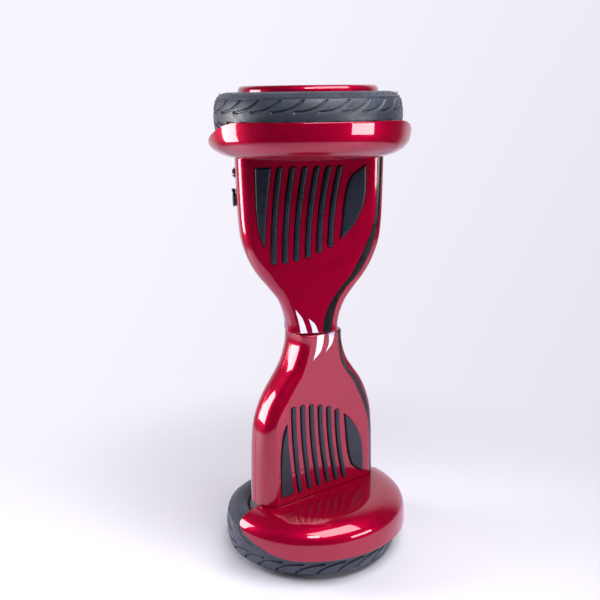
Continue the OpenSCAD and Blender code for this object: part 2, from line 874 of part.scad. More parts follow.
left() left_chassis();
left() top_cover();  // left_top_cover
left() bottom_cover() fitting_holes();  // left_bottom_cover
left() front_trim();  // left_front_trim
left() fender();  // left_fender
left() foot_pad();  // left_foot_pad
left() sensor_board();  // left_sensor_board
left() axle();  // left_axle
left() axle_clamp();  // left_axle_clamp
left() clamp_bolts();  // left_clamp_bolts
left() cover_screws();  // left_cover_screws
left() stator_core();  // left_stator_core
left() stator_windings();  // left_stator_windings
left() left_motor_cable();
left() tyre();  // left_tyre
left() inner_tube();  // left_inner_tube
left() rim();  // left_rim
left() magnet_ring();  // left_magnet_ring
left() motor_inner_cover();  // left_motor_inner_cover
left() motor_outer_cover();  // left_motor_outer_cover
left() wheel_bearings();  // left_wheel_bearings
left() hub_cap();  // left_hub_cap
left() hub_screws();  // left_hub_screws
right() right_chassis();
right() top_cover(right = true);  // right_top_cover
right() bottom_cover(right = true);  // right_bottom_cover
right() front_trim(right = true);  // right_front_trim
right() fender();  // right_fender
right() foot_pad();  // right_foot_pad
right() sensor_board();  // right_sensor_board
right() axle();  // right_axle
right() axle_clamp();  // right_axle_clamp
right() clamp_bolts();  // right_clamp_bolts
right() cover_screws();  // right_cover_screws
right() stator_core();  // right_stator_core
right() stator_windings();  // right_stator_windings
right() right_motor_cable();
right() tyre();  // right_tyre
right() inner_tube();  // right_inner_tube
right() rim();  // right_rim
right() magnet_ring();  // right_magnet_ring
right() motor_inner_cover();  // right_motor_inner_cover
right() motor_outer_cover();  // right_motor_outer_cover
right() wheel_bearings();  // right_wheel_bearings
right() hub_cap();  // right_hub_cap
right() hub_screws();  // right_hub_screws
twist_shaft();
twist_bushes();
thrust_washer();
retaining_ring();
limit_pin();
waist_seal();
link_cable();
left() main_board();
left() heat_sink();
left() power_switch();
left() power_button();
left() charge_port();
left() port_cap();
right() battery_pack();
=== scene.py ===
import json
import math

import bmesh
import bpy
import numpy as np
from mathutils import Matrix, Vector


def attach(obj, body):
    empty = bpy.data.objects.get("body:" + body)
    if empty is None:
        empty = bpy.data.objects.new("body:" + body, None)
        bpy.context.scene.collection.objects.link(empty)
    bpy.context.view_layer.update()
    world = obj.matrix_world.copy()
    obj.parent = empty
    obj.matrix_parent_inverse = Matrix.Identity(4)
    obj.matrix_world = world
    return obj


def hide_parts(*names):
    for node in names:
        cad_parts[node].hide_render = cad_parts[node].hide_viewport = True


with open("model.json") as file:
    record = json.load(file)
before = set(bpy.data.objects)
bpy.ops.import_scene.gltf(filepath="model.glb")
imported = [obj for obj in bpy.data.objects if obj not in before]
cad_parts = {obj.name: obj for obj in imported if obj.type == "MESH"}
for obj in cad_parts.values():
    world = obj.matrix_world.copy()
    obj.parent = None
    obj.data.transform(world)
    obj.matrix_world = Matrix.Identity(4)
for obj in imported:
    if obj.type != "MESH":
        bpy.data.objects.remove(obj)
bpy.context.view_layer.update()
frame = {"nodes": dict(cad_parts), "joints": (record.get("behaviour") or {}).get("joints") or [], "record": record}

# The board is stored on end. Each half is drawn in millimetres in its own frame: x forward, y away from the
# foot side, z = s outward from the waist. piece() then puts it into the frame of the whole board, through PLACE.
JOINTS = {j["name"]: j for j in frame["joints"]}
WAIST_Z = JOINTS["waist_twist"]["pos_m"][2] * 1000
PRESS = JOINTS["left_pad_press"]["axis"]
TWIST = math.atan2(PRESS[0], PRESS[1])
WHEEL_S = JOINTS["left_wheel_spin"]["pos_m"][2] * 1000 - WAIST_Z
SIDES = ("left", "right")
PLACE = {
    "left": Matrix.Translation((0, 0, WAIST_Z / 1000)) @ Matrix.Rotation(-TWIST, 4, "Z"),
    "right": Matrix.Translation((0, 0, WAIST_Z / 1000)) @ Matrix.Scale(-1, 4, (0, 0, 1)),
}
RNG = np.random.default_rng(7)

# ---- Shape of the shells, each pair being s and a value there ----

START, DECK_END, WALL, PLATE, SEAM = 0.75, 242.0, 3.0, 2.2, 0.3
HALF_WIDTH = [(0, 36.5), (14, 36.6), (30, 40.5), (47, 48), (65, 61.5), (82, 75), (100, 85.5), (125, 94.5),
              (150, 98), (180, 99.5), (242, 101)]
REAR_CREASE = [(0, 18), (30, 27), (53, 36), (67, 46), (84, 58), (98, 70), (115, 80), (140, 83), (242, 83)]
FRONT_CREASE = [(0, 10), (30, 14), (45, 20), (73, 35), (97, 52), (118, 69), (140, 81), (242, 83)]
TOP = [(0, 36.5), (50, 34), (95, 31.4), (115, 31), (242, 31)]
REAR_POWER = [(0, 5), (60, 4), (130, 3.3), (242, 3.3)]
FRONT_POWER = [(0, 4.6), (60, 6), (242, 6)]
BOTTOM = [(0, 33.2), (60, 34.8), (120, 38), (242, 39)]
BOTTOM_POWER = [(0, 2), (60, 2.3), (130, 2.6), (242, 2.6)]
TRIM_IN = [(0, 12), (20, 14.6), (41, 22.3), (61, 36), (82, 53.5), (100, 63.5), (117, 72.2), (150, 84),
           (184, 88), (242, 89.5)]
TRIM_OUT = [(0, 24.3), (20, 27), (41, 32.3), (61, 44), (82, 64), (100, 75), (117, 82.7), (150, 91.5),
            (184, 95), (242, 97)]
RIGHT_IN = [(0, 11), (15, 10.5), (30, 8.5), (45, 4.7), (62, 1.5), (242, 1)]
RIGHT_OUT = [(0, 7), (15, 5.5), (30, 2), (45, 0.6), (242, 0.5)]


def along(table, s):
    """Smooth curve through pairs of s and a value."""
    x, y = np.array(table, float).T
    s = np.asarray(s, float)
    m = np.gradient(y)
    m[1:-1] = (y[2:] - y[:-2]) / (x[2:] - x[:-2])
    m[0], m[-1] = (y[1] - y[0]) / (x[1] - x[0]), (y[-1] - y[-2]) / (x[-1] - x[-2])
    i = np.clip(np.searchsorted(x, s, "right") - 1, 0, len(x) - 2)
    h = x[i + 1] - x[i]
    u = np.clip((s - x[i]) / h, 0, 1)
    return (y[i] * (1 + 2 * u) * (1 - u) ** 2 + y[i + 1] * u * u * (3 - 2 * u)
            + h * m[i] * u * (1 - u) ** 2 + h * m[i + 1] * u * u * (u - 1))


def curve(x, y, at):
    """Smooth curve through points given as two lists."""
    return along(np.stack([x, y], -1), at)


def top_height(s, front):
    """Height of the foot side's full curve, which meets the flat top at the crease."""
    def height(crease, power):
        n, k = along(power, s), along(crease, s) / along(HALF_WIDTH, s)
        return along(TOP, s) / (1 - k ** n) ** (1 / n)

    return np.where(front, height(FRONT_CREASE, FRONT_POWER), height(REAR_CREASE, REAR_POWER))


def under_top(v, height, top):
    """The height v cut off at the flat top, with the edge rounded a little."""
    k = np.clip(0.9 * (height - top), 0.01, 1.2)
    h = np.clip(0.5 + 0.5 * (top - v) / k, 0, 1)
    return top * (1 - h) + v * h - k * h * (1 - h)


def skin(s, a, inset=0.0):
    """Points of a shell's surface at s in direction a, from 0 at the front to 90 degrees at the foot side."""
    s, a, inset = np.broadcast_arrays(np.asarray(s, float), np.asarray(a, float), np.asarray(inset, float))
    below, front = a < 0, (a >= 0) & (a <= math.pi / 2)
    upper_power = np.where(front, along(FRONT_POWER, s), along(REAR_POWER, s))
    power = np.where(below, along(BOTTOM_POWER, s), upper_power)
    height = np.where(below, along(BOTTOM, s), top_height(s, front)) - inset
    width = along(HALF_WIDTH, s) - inset
    r = ((np.abs(np.cos(a)) / width) ** power + (np.abs(np.sin(a)) / height) ** power) ** (-1 / power)
    v = r * np.abs(np.sin(a))
    return np.stack([r * np.cos(a), np.where(below, v, -under_top(v, height, along(TOP, s) - inset)), s], -1)


def angle_at(s, f):
    """Direction of the surface point at f in front of the axis."""
    n, w = along(FRONT_POWER, s), along(HALF_WIDTH, s)
    k = np.minimum(f / w, 1)
    return np.arctan2(top_height(s, True) * (1 - k ** n) ** (1 / n), f)


def inner_edge(s, side, gap):
    return angle_at(s, along(TRIM_IN, s) + (along(RIGHT_IN, s) if side == "right" else 0) + gap)


def outer_edge(s, side, gap):
    return angle_at(s, along(TRIM_OUT, s) + (along(RIGHT_OUT, s) if side == "right" else 0) + gap)


def rear_edge(s, gap):
    """Direction of the seam between the covers at the back."""
    return math.pi - np.arctan(gap / along(HALF_WIDTH, s))


def underside(f, s):
    """Height of the underside at f and s."""
    n = along(BOTTOM_POWER, s)
    return along(BOTTOM, s) * (1 - (abs(f) / along(HALF_WIDTH, s)) ** n) ** (1 / n)


# ---- Mesh helpers ----

def raw_mesh(name, verts, faces):
    mesh = bpy.data.meshes.new(name)
    mesh.from_pydata(np.asarray(verts, float).tolist(), [], [list(map(int, f)) for f in faces])
    bm = bmesh.new()
    bm.from_mesh(mesh)
    bmesh.ops.recalc_face_normals(bm, faces=bm.faces)
    bm.to_mesh(mesh)
    bm.free()
    return mesh


def joined(parts):
    """Several (points, faces) as one."""
    verts, faces, base = [], [], 0
    for v, f in parts:
        verts.append(np.asarray(v, float).reshape(-1, 3))
        faces += [[int(i) + base for i in q] for q in f]
        base += len(verts[-1])
    return np.concatenate(verts), faces


def grid(rows, cols, loop_rows=False, loop_cols=False):
    """Faces between rows of points, closed into a loop either way if asked."""
    i = np.arange(rows if loop_rows else rows - 1)
    j = np.arange(cols if loop_cols else cols - 1)
    i, j = np.meshgrid(i, j, indexing="ij")
    a, b = i * cols + j, i * cols + (j + 1) % cols
    c, d = ((i + 1) % rows) * cols + (j + 1) % cols, ((i + 1) % rows) * cols + j
    return np.stack([a, b, c, d], -1).reshape(-1, 4).tolist()


def cut(mesh, cutters):
    """The mesh with closed cutter shapes, given as (points, faces), taken away."""
    if not cutters:
        return mesh
    body = bpy.data.objects.new("tmp_body", mesh)
    tool = bpy.data.objects.new("tmp_tool", raw_mesh("tmp_tool", *joined(cutters)))
    for o in (body, tool):
        bpy.context.scene.collection.objects.link(o)
    mod = body.modifiers.new("cut", "BOOLEAN")
    mod.operation, mod.object, mod.solver = "DIFFERENCE", tool, "MANIFOLD"
    made = bpy.data.meshes.new_from_object(body.evaluated_get(bpy.context.evaluated_depsgraph_get()))
    for o in (body, tool):
        bpy.data.objects.remove(o)
    return made


def piece(name, mesh, side, body, material, replaces=(), sharp=32):
    """Puts a mesh drawn in millimetres in a half's frame into place, on its body."""
    m = PLACE[side] @ Matrix.Scale(0.001, 4)
    mesh.transform(m)
    if m.determinant() < 0:
        mesh.flip_normals()
    mesh.name = name
    mesh.materials.clear()
    for mat in material if isinstance(material, (list, tuple)) else [material]:
        mesh.materials.append(mat)
    mesh.polygons.foreach_set("use_smooth", [True] * len(mesh.polygons))
    mesh.set_sharp_from_angle(angle=math.radians(sharp))
    obj = bpy.data.objects.new(name, mesh)
    bpy.context.scene.collection.objects.link(obj)
    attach(obj, body)
    if replaces:
        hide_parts(*replaces)
    return obj


def lathe(profile, n):
    """Solid of revolution about z of a list of (radius, z); a radius may depend on the angle."""
    t = np.linspace(0, 2 * math.pi, n, endpoint=False)
    rings = []
    for r, z in profile:
        radius = r(t) if callable(r) else np.full(n, r, float)
        rings.append(np.stack([radius * np.cos(t), radius * np.sin(t), np.full(n, z, float)], -1))
    last = (len(profile) - 1) * n
    faces = grid(len(profile), n, loop_cols=True) + [list(range(n))[::-1], [last + k for k in range(n)]]
    return np.concatenate(rings), faces


def turned(part, m):
    """A (points, faces) moved by a matrix."""
    v, f = part
    m = np.array(m)
    return v @ m[:3, :3].T + m[:3, 3], f


def prism(outline, low, high):
    """Stands an outline in f and s up between two heights above the axis."""
    p = np.asarray(outline, float)
    n = len(p)
    v = np.concatenate([np.stack([p[:, 0], np.full(n, -h), p[:, 1]], -1) for h in (low, high)])
    f = grid(2, n, loop_cols=True) + [list(range(n))[::-1], [n + k for k in range(n)]]
    return v, f


def drop(d, r):
    """How far a rounded edge of radius r falls at distance d from the edge."""
    d = np.clip(d, 0, r)
    return r - np.sqrt(np.maximum(r * r - (r - d) ** 2, 0))


def eased(count, pull):
    """Places from 0 to 1, closer together at both ends."""
    p = np.linspace(0, 1, count)
    return p - pull * np.sin(2 * math.pi * p) / (2 * math.pi)


# ---- Shell strips ----

EDGE_R, END_R = 0.35, 1.0
WAIST_HOLE_R, DECK_HOLE_R = 29.5, 24
SAMPLES = 260
EDGE_STEPS = np.array([0, 0.03, 0.1, 0.2, EDGE_R])
END_STEPS = np.array([0, 0.06, 0.25, 0.55, END_R, PLATE])
PLATE_ROW = len(END_STEPS) - 1
MIDDLE_ROWS = np.linspace(START + 4, DECK_END - 4, 124)
ROWS = np.concatenate([START + END_STEPS, MIDDLE_ROWS, DECK_END - END_STEPS[::-1]])


def spread(length, count, first, last):
    """Places along a line, closer together at both ends, with a rounded edge's own places at a free end."""
    a = EDGE_R if first else 0.0
    b = length - (EDGE_R if last else 0.0)
    head = [EDGE_STEPS[:-1]] if first else []
    tail = [length - EDGE_STEPS[::-1][1:]] if last else []
    return np.concatenate(head + [a + (b - a) * eased(count + 1, 0.8)] + tail)


def strip(stops, counts, ended):
    """A strip of shell through the given directions at every row, with walls across its ends if ended."""
    angles, near = [], []
    for i, s in enumerate(ROWS):
        a_row, p_row, base = [], [], 0.0
        for j, count in enumerate(counts):
            a = np.linspace(stops[j][i], stops[j + 1][i], SAMPLES)
            line = skin(s, a)[:, :2]
            length = np.concatenate([[0], np.cumsum(np.linalg.norm(np.diff(line, axis=0), axis=1))])
            x = spread(length[-1], count, j == 0, j == len(counts) - 1)
            x = x if j == 0 else x[1:]
            a_row.append(np.interp(x, length, a))
            p_row.append(base + x)
            base += length[-1]
        places = np.concatenate(p_row)
        angles.append(np.concatenate(a_row))
        near.append(np.minimum(places, base - places))
    angles, near = np.array(angles), np.array(near)
    cols = angles.shape[1]
    ends = np.minimum(ROWS - START, DECK_END - ROWS)[:, None]
    outer = skin(ROWS[:, None], angles, np.maximum(drop(near, EDGE_R), drop(ends, END_R)))
    first, last = (PLATE_ROW, len(ROWS) - 1 - PLATE_ROW) if ended else (0, len(ROWS) - 1)
    inner = skin(ROWS[first:last + 1, None], angles[first:last + 1], WALL)

    def ring(radius, a, s):
        return np.stack([radius * np.cos(a), -radius * np.sin(a), np.full(cols, s)], -1)[None]

    if ended:
        head = [ring(WAIST_HOLE_R, angles[0], START + PLATE), ring(WAIST_HOLE_R, angles[0], START)]
        tail = [ring(DECK_HOLE_R, angles[-1], DECK_END), ring(DECK_HOLE_R, angles[-1], DECK_END - PLATE)]
    else:
        head, tail = [], []
    loop = np.concatenate([*head, outer, *tail, inner[::-1]])
    rows, offset = len(loop), len(head)
    faces = grid(rows, cols, loop_rows=True)

    def inner_row(i):
        return rows - 1 - (i - first)

    for c in (0, cols - 1):
        for i in range(first, last):
            faces.append([(offset + i) * cols + c, (offset + i + 1) * cols + c,
                          inner_row(i + 1) * cols + c, inner_row(i) * cols + c])
        if ended:
            waist_end = [*range(0, offset + first + 1), inner_row(first)]
            deck_end = [*range(offset + last, offset + len(ROWS) + 2), inner_row(last)]
            faces += [[k * cols + c for k in end] for end in (waist_end, deck_end)]
    return loop.reshape(-1, 3), faces


# ---- Foot pad outlines ----

DECK, RIB_PROUD, RIB_R, RIB_GAP, PAD_OUT = 31.0, 3.0, 3.6, 0.9, 230.5
MAT_TOP = DECK - WALL - 0.8


def rib_start(i):
    """Distance from the waist at which a rib starts."""
    return 99.5 + 0.85 * i * i


def rib_f(i, s):
    """Middle line of a rib, which bows away from the back."""
    return -54 + 15.65 * i + (0.0006 + 0.00011 * i) * (s - rib_start(i)) ** 2


def rib_sides(i, grow=0.0):
    """s, near side and far side of a rib."""
    r = RIB_R + grow
    a, b = rib_start(i) - grow, PAD_OUT + grow
    t = np.linspace(0, math.pi / 2, 9)
    s = np.concatenate([a + r * (1 - np.cos(t)), np.linspace(a + r, b - r, 44)[1:-1], b - r + r * np.sin(t)])
    half = np.concatenate([r * np.sin(t), np.full(42, r), r * np.cos(t)])
    return s, rib_f(i, s) - half, rib_f(i, s) + half


BLADES = {
    "rear": ([(123, -65.6), (133, -70.3), (150, -74), (175, -76.4), (229.5, -76.7)],
             [(123, -65.6), (148, -64.6), (177, -62), (209, -58.2), (229.5, -55.6)]),
    "front": ([(131.5, 38.5), (150, 40.3), (174, 42.4), (198, 46.2), (216, 53), (231, 72.6)],
              [(131.5, 38.5), (140.5, 48), (156, 60), (180, 70.4), (203, 73.2), (231, 72.6)]),
}


def blade_sides(name):
    """s, near side and far side of one of the wide pads beside the ribs."""
    low, high = BLADES[name]
    a, b = low[0][0], low[-1][0]
    s = a + (b - a) * eased(60, 0.7)
    near = np.interp(s, *np.array(low).T) * 0.5 + along(low, s) * 0.5
    far = np.interp(s, *np.array(high).T) * 0.3 + along(high, s) * 0.7
    return s, near, np.maximum(far, near + 1e-3)


def outline_of(sides):
    """The two sides of a shape as one outline of f and s."""
    s, near, far = sides
    p = np.concatenate([np.stack([near, s], -1), np.stack([far, s], -1)[::-1]])
    keep = np.linalg.norm(p - np.roll(p, 1, axis=0), axis=1) > 0.02
    return p[keep]


def grown(p, d):
    """An outline moved outward by d."""
    e = np.roll(p, -1, axis=0) - p
    e /= np.linalg.norm(e, axis=1)[:, None]
    area = np.sum(p[:, 0] * np.roll(p[:, 1], -1) - p[:, 1] * np.roll(p[:, 0], -1))
    n = np.stack([e[:, 1], -e[:, 0]], -1) * np.sign(area)
    m = n + np.roll(n, 1, axis=0)
    q = np.maximum(np.linalg.norm(m, axis=1), 1.0)[:, None]
    return p + d * m / (q * q / 2)


def edge_distance(f, s, outline):
    """How far each point is from an outline."""
    points = np.stack([f.ravel(), s.ravel()], -1)
    a, b = outline, np.roll(outline, -1, axis=0)
    d = b - a
    best = np.full(len(points), 1e9)
    for k in range(len(a)):
        t = np.clip(((points - a[k]) @ d[k]) / max(d[k] @ d[k], 1e-9), 0, 1)
        best = np.minimum(best, np.linalg.norm(points - a[k] - t[:, None] * d[k], axis=1))
    return best.reshape(f.shape)


def between(upper, lower):
    """The closed solid between two sheets of points of the same size."""
    rows, cols = upper.shape[:2]
    n = rows * cols
    faces = grid(rows, cols) + [[n + i for i in q[::-1]] for q in grid(rows, cols)]
    rim = [i * cols for i in range(rows)] + [(rows - 1) * cols + j for j in range(1, cols)]
    rim += [i * cols + cols - 1 for i in range(rows - 2, -1, -1)] + list(range(cols - 2, 0, -1))
    faces += [[a, b, n + b, n + a] for a, b in zip(rim, rim[1:] + rim[:1])]
    return np.concatenate([upper.reshape(-1, 3), lower.reshape(-1, 3)]), faces


def fin(sides, low, high, radius):
    """A rib or blade with rounded upper edges."""
    s, near, far = (row[1:-1] for row in sides)
    edge = np.array([0, 0.02, 0.06, 0.12, 0.2, 0.3, 0.42])
    f = near[:, None] + (far - near)[:, None] * np.concatenate([edge, 1 - edge[::-1]])
    s = np.broadcast_to(s[:, None], f.shape)
    d = edge_distance(f, s, outline_of(sides))
    d[:, 0] = d[:, -1] = 0
    d[0] = d[-1] = 0
    return between(np.stack([f, drop(d, radius) - high, s], -1), np.stack([f, np.full(f.shape, -low), s], -1))


# ---- Materials ----

FLAKES = 2600


def finish_of(name, color, rough, metal=0.0, coat=0.0, coat_rough=0.03, tint=0.12, patch=9.0, grain=900.0,
              bump=0.02, rough_var=0.08, specular=0.5, lines=None, wear=0.0, wear_color=(0.3, 0.3, 0.32),
              flakes=0.0):
    """A finish with patchy colour, uneven gloss, fine texture and, if asked, lines, scuffs or flakes."""
    mat = bpy.data.materials.new(name)
    mat.use_nodes = True
    nodes, links = mat.node_tree.nodes, mat.node_tree.links
    bsdf = nodes["Principled BSDF"]
    bsdf.inputs["Metallic"].default_value = metal
    bsdf.inputs["Coat Weight"].default_value = coat
    bsdf.inputs["Coat Roughness"].default_value = coat_rough
    bsdf.inputs["Specular IOR Level"].default_value = specular
    where = nodes.new("ShaderNodeTexCoord")

    def noise(scale, detail=3.0, stretch=None):
        n = nodes.new("ShaderNodeTexNoise")
        n.inputs["Scale"].default_value = scale
        n.inputs["Detail"].default_value = detail
        if stretch:
            m = nodes.new("ShaderNodeMapping")
            m.inputs["Scale"].default_value = stretch
            links.new(where.outputs["Object"], m.inputs["Vector"])
            links.new(m.outputs["Vector"], n.inputs["Vector"])
        else:
            links.new(where.outputs["Object"], n.inputs["Vector"])
        return n.outputs["Fac"]

    def mapped(value, low, high, a=0.35, b=0.65):
        m = nodes.new("ShaderNodeMapRange")
        m.inputs["From Min"].default_value, m.inputs["From Max"].default_value = a, b
        m.inputs["To Min"].default_value, m.inputs["To Max"].default_value = low, high
        links.new(value, m.inputs["Value"])
        return m.outputs["Result"]

    def mixed(a, b, fac):
        m = nodes.new("ShaderNodeMix")
        m.data_type = "RGBA"
        for socket, value in ((m.inputs["A"], a), (m.inputs["B"], b)):
            if isinstance(value, tuple):
                socket.default_value = (*value, 1)
            else:
                links.new(value, socket)
        links.new(fac, m.inputs["Factor"])
        return m.outputs["Result"]

    dark = tuple(c * (1 - tint) for c in color)
    light = tuple(min(1, c * (1 + tint)) for c in color)
    shade = mixed(dark, light, mapped(noise(patch), 0, 1))
    gloss = mapped(noise(patch * 7, 5.0), max(0.02, rough - rough_var), rough + rough_var)
    if wear:
        scuff = mapped(noise(140.0, 8.0), 0, wear, 0.6, 0.72)
        shade = mixed(shade, wear_color, scuff)
    if flakes:
        flake = nodes.new("ShaderNodeTexVoronoi")
        flake.inputs["Scale"].default_value = FLAKES
        links.new(where.outputs["Object"], flake.inputs["Vector"])
        bright = tuple(min(1, c * (1 + flakes)) for c in color)
        shade = mixed(shade, bright, mapped(flake.outputs["Distance"], 1, 0, 0.1, 0.5))
    links.new(shade, bsdf.inputs["Base Color"])
    links.new(gloss, bsdf.inputs["Roughness"])
    b = nodes.new("ShaderNodeBump")
    b.inputs["Strength"].default_value = 1.0
    b.inputs["Distance"].default_value = bump / 1000
    links.new(noise(grain, 4.0, lines), b.inputs["Height"])
    links.new(b.outputs["Normal"], bsdf.inputs["Normal"])
    return mat


M = {
    "red_gloss": finish_of("red_gloss", (0.27, 0.0, 0.020), 0.42, metal=0.6, coat=1.0, coat_rough=0.05,
                           tint=0.05, patch=14, grain=120, bump=0.02, rough_var=0.05, specular=0.0,
                           flakes=0.25),
    "black_gloss": finish_of("black_gloss", (0.003, 0.0035, 0.004), 0.3, coat=0.25, coat_rough=0.06,
                             specular=0.25, tint=0.2, grain=300, bump=0.01, rough_var=0.06, wear=0.05),
    "pad_rubber": finish_of("pad_rubber", (0.008, 0.012, 0.021), 0.34, specular=0.35, tint=0.18, patch=30,
                            grain=1500, bump=0.05, wear=0.12, wear_color=(0.03, 0.036, 0.05)),
    "circuit_board": finish_of("circuit_board", (0.01, 0.13, 0.05), 0.35, coat=0.4, tint=0.35, patch=160,
                               grain=600, bump=0.05),
    "axle_steel": finish_of("axle_steel", (0.55, 0.56, 0.58), 0.3, metal=1.0, grain=900, bump=0.02,
                            lines=(1, 1, 0.05), wear=0.1),
    "screw_steel": finish_of("screw_steel", (0.3, 0.3, 0.32), 0.35, metal=1.0, grain=1500, bump=0.03,
                             wear=0.15),
    "cast_aluminium": finish_of("cast_aluminium", (0.55, 0.55, 0.57), 0.5, metal=1.0, patch=40, grain=700,
                                bump=0.12),
    "core_steel": finish_of("core_steel", (0.22, 0.23, 0.27), 0.42, metal=1.0, grain=700, bump=0.1,
                            lines=(0.05, 0.05, 3), wear=0.1, wear_color=(0.2, 0.1, 0.05)),
    "copper_wire": finish_of("copper_wire", (0.55, 0.2, 0.07), 0.35, metal=1.0, patch=90, grain=900,
                             bump=0.25, lines=(0.1, 0.1, 2)),
    "cable_black": finish_of("cable_black", (0.014, 0.014, 0.015), 0.6, grain=1200, bump=0.05),
    "tyre_rubber": finish_of("tyre_rubber", (0.022, 0.028, 0.044), 0.45, tint=0.22, patch=26, grain=1300,
                             bump=0.05, wear=0.2, wear_color=(0.05, 0.055, 0.075)),
    "tube_rubber": finish_of("tube_rubber", (0.02, 0.02, 0.02), 0.7, patch=40, grain=700, bump=0.1),
    "rim_black": finish_of("rim_black", (0.02, 0.02, 0.024), 0.35, coat=0.5, grain=500, bump=0.05, wear=0.1),
    "magnet": finish_of("magnet", (0.5, 0.48, 0.44), 0.25, metal=1.0, patch=60, grain=900, bump=0.03),
    "bearing_steel": finish_of("bearing_steel", (0.6, 0.6, 0.62), 0.2, metal=1.0, grain=1200, bump=0.01),
    "bronze": finish_of("bronze", (0.45, 0.3, 0.12), 0.45, metal=1.0, patch=120, grain=1500, bump=0.06),
    "washer_plastic": finish_of("washer_plastic", (0.75, 0.73, 0.65), 0.4, grain=800, bump=0.03),
    "seal_rubber": finish_of("seal_rubber", (0.012, 0.012, 0.014), 0.6, grain=900, bump=0.05),
    "battery_wrap": finish_of("battery_wrap", (0.01, 0.06, 0.28), 0.35, coat=0.3, patch=25, grain=120,
                              bump=0.5),
    "heat_sink": finish_of("heat_sink", (0.6, 0.6, 0.62), 0.4, metal=1.0, grain=900, bump=0.05,
                           lines=(1, 1, 0.06)),
    "fitting_black": finish_of("fitting_black", (0.014, 0.014, 0.016), 0.42, grain=1500, bump=0.06),
    "button_metal": finish_of("button_metal", (0.5, 0.5, 0.52), 0.22, metal=1.0, grain=1500, bump=0.02,
                              wear=0.1),
}
CLAW = finish_of("claw_inlay", (0.62, 0.62, 0.8), 0.3, coat=0.6, tint=0.05, grain=700, bump=0.01)

SLOT_OF = {row["node"]: row["material_slot"] for row in frame["record"]["subparts"]}
for node, obj in frame["nodes"].items():
    obj.data.materials.clear()
    obj.data.materials.append(M[SLOT_OF[node]])

# ---- Shells, trim and foot pads ----

# f and s of the screws that hold the bottom cover, how deep their heads sit and the radius of their shanks
SCREWS = [(70, 150), (-70, 150), (70, 216), (-70, 216), (44, 88), (-44, 88)]
HEAD_SUNK, SCREW_R = 1.3, 1.5
# s and radius of the holes for the button and the charging socket, in the back of the left half
FITTING_HOLES = [(221, 6.9), (184, 8.6)]
EDGE_F, FITTING_U = 101.5, -11.0
RIBS = range(6)


def down(f, s, u):
    """A frame whose +z points away from the foot side at f, s and height u."""
    return Matrix.Translation((f, u, s)) @ Matrix.Rotation(-math.pi / 2, 4, "X")


def rear(s):
    """A frame whose +z points inward from the rear edge at distance s."""
    return Matrix.Translation((-EDGE_F, -FITTING_U, s)) @ Matrix.Rotation(math.pi / 2, 4, "Y")


def rod(r, a, b, n=40):
    """A cylinder of radius r about z, from a to b."""
    return lathe([(r, a), (r, b)], n)


# Two claw marks beside the waist on each half, as s and f along both edges
CLAWS = {
    "left": [([(0, -18.9), (11.7, -20.3), (35.9, -25.8)], [(0, -9.0), (21.7, -15.9), (35.9, -25.8)]),
             ([(0, -2.2), (9, -3.4), (22.1, -7.4)], [(0, 6.5), (14, 1), (22.1, -7.4)])],
    "right": [([(0, -14.8), (20.2, -16.4), (37.1, -21)], [(0, -2.2), (25.4, -8), (37.1, -21)]),
              ([(0, 5.2), (17.3, 5.9), (28.9, 0.8)], [(0, 16.4), (18.4, 11.4), (28.9, 0.8)])],
}


def surface(f, s):
    """Height of the foot side at f and s."""
    w = along(HALF_WIDTH, s)
    front = f >= 0
    n = np.where(front, along(FRONT_POWER, s), along(REAR_POWER, s))
    h = top_height(s, front)
    return under_top(h * (1 - np.minimum(np.abs(f) / w, 0.999) ** n) ** (1 / n), h, along(TOP, s))


def inlay(f, s, rise, sunk):
    """A thin skin that follows the foot side, from sunk below it to rise above it."""
    u = surface(f, s)
    e = 0.05
    slope = (surface(f + e, s) - surface(f - e, s)) / (2 * e)
    n = np.stack([-slope, np.ones_like(slope)], -1) / np.sqrt(1 + slope ** 2)[..., None]
    return between(*(np.stack([f + n[..., 0] * h, -(u + n[..., 1] * h), s], -1)
                     for h in (rise, np.full(f.shape, -sunk))))


def add_covers(side):
    """The two halves of the shell and the black band between them."""
    s, half = ROWS, f"{side}_half"
    front = np.arctan2(along(TOP, s), along(FRONT_CREASE, s))
    back = np.arctan2(along(TOP, s), -along(REAR_CREASE, s))
    slots = [outline_of(rib_sides(i, RIB_GAP)) for i in RIBS]
    slots += [grown(outline_of(blade_sides(b)), RIB_GAP) for b in BLADES]
    shell = strip([inner_edge(s, side, -SEAM / 2), front, back, rear_edge(s, SEAM / 2)], [10, 64, 34], True)
    shell = cut(raw_mesh("top", *shell), [prism(p, 10, 50) for p in slots])
    piece(f"{side}_top_shell", shell, side, half, M["red_gloss"], [f"{side}_top_cover"])

    bottom = np.full(len(s), -math.pi / 2)
    stops = [-rear_edge(s, SEAM / 2), bottom, np.zeros(len(s)), outer_edge(s, side, SEAM / 2)]
    stepped = lathe([(1.9, -10), (1.9, 0), (3.6, 0), (3.6, 10)], 32)
    holes = [turned(stepped, down(f, at, underside(f, at) - HEAD_SUNK)) for f, at in SCREWS]
    if side == "left":
        holes += [turned(rod(r, -3, 18, 48), rear(at)) for at, r in FITTING_HOLES]
    shell = cut(raw_mesh("low", *strip(stops, [44, 44, 22], True)), holes)
    piece(f"{side}_bottom_shell", shell, side, half, M["red_gloss"], [f"{side}_bottom_cover"])

    stops = [outer_edge(s, side, -SEAM / 2), inner_edge(s, side, SEAM / 2)]
    band = raw_mesh("trim", *strip(stops, [22], False))
    piece(f"{side}_trim_band", band, side, half, M["black_gloss"], [f"{side}_front_trim"])


MAT_OUTLINE = [(-77.2, 234), (-77.2, 172), (-72, 128), (-62, 97), (-18, 97), (30, 112), (50, 133), (66, 152),
               (76, 180), (76, 234)]


